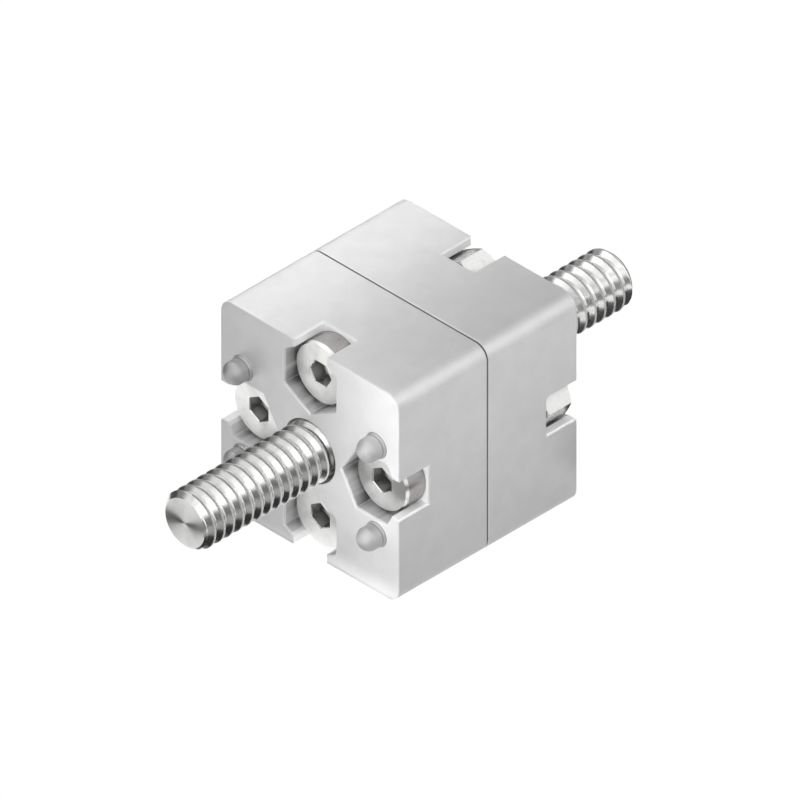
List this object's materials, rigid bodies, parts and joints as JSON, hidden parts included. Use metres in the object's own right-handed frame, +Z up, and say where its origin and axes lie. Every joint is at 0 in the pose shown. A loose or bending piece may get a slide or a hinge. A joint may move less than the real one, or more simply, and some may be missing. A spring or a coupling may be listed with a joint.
{
  "type": "profile end connector",
  "caption": "Square split block that joins slotted profiles end to end, with a threaded stud and locating pins on each end face and clamp screws and nuts in hexagonal pockets.",
  "frame": {"origin": "middle of the joint between the halves, on the axis of the core screws", "axes": "+X along the core screws towards the rear half, where the nuts are; +Z up; the right side, as seen from the front, is towards -Y"},
  "size_m": [0.072, 0.03, 0.03],
  "materials": {
    "casting": "satin as die-cast",
    "core_screw": "bright zinc plated",
    "clamp_screw": "bright zinc plated",
    "clamp_nut": "bright zinc plated"
  },
  "bodies": {
    "root": {"connector_half_front": "casting", "connector_half_rear": "casting", "core_screw_front": "core_screw", "core_screw_rear": "core_screw", "clamp_screw_top": "clamp_screw", "clamp_screw_right": "clamp_screw", "clamp_screw_bottom": "clamp_screw", "clamp_screw_left": "clamp_screw", "clamp_nut_top": "clamp_nut", "clamp_nut_right": "clamp_nut", "clamp_nut_bottom": "clamp_nut", "clamp_nut_left": "clamp_nut"}
  },
  "joints": []
}
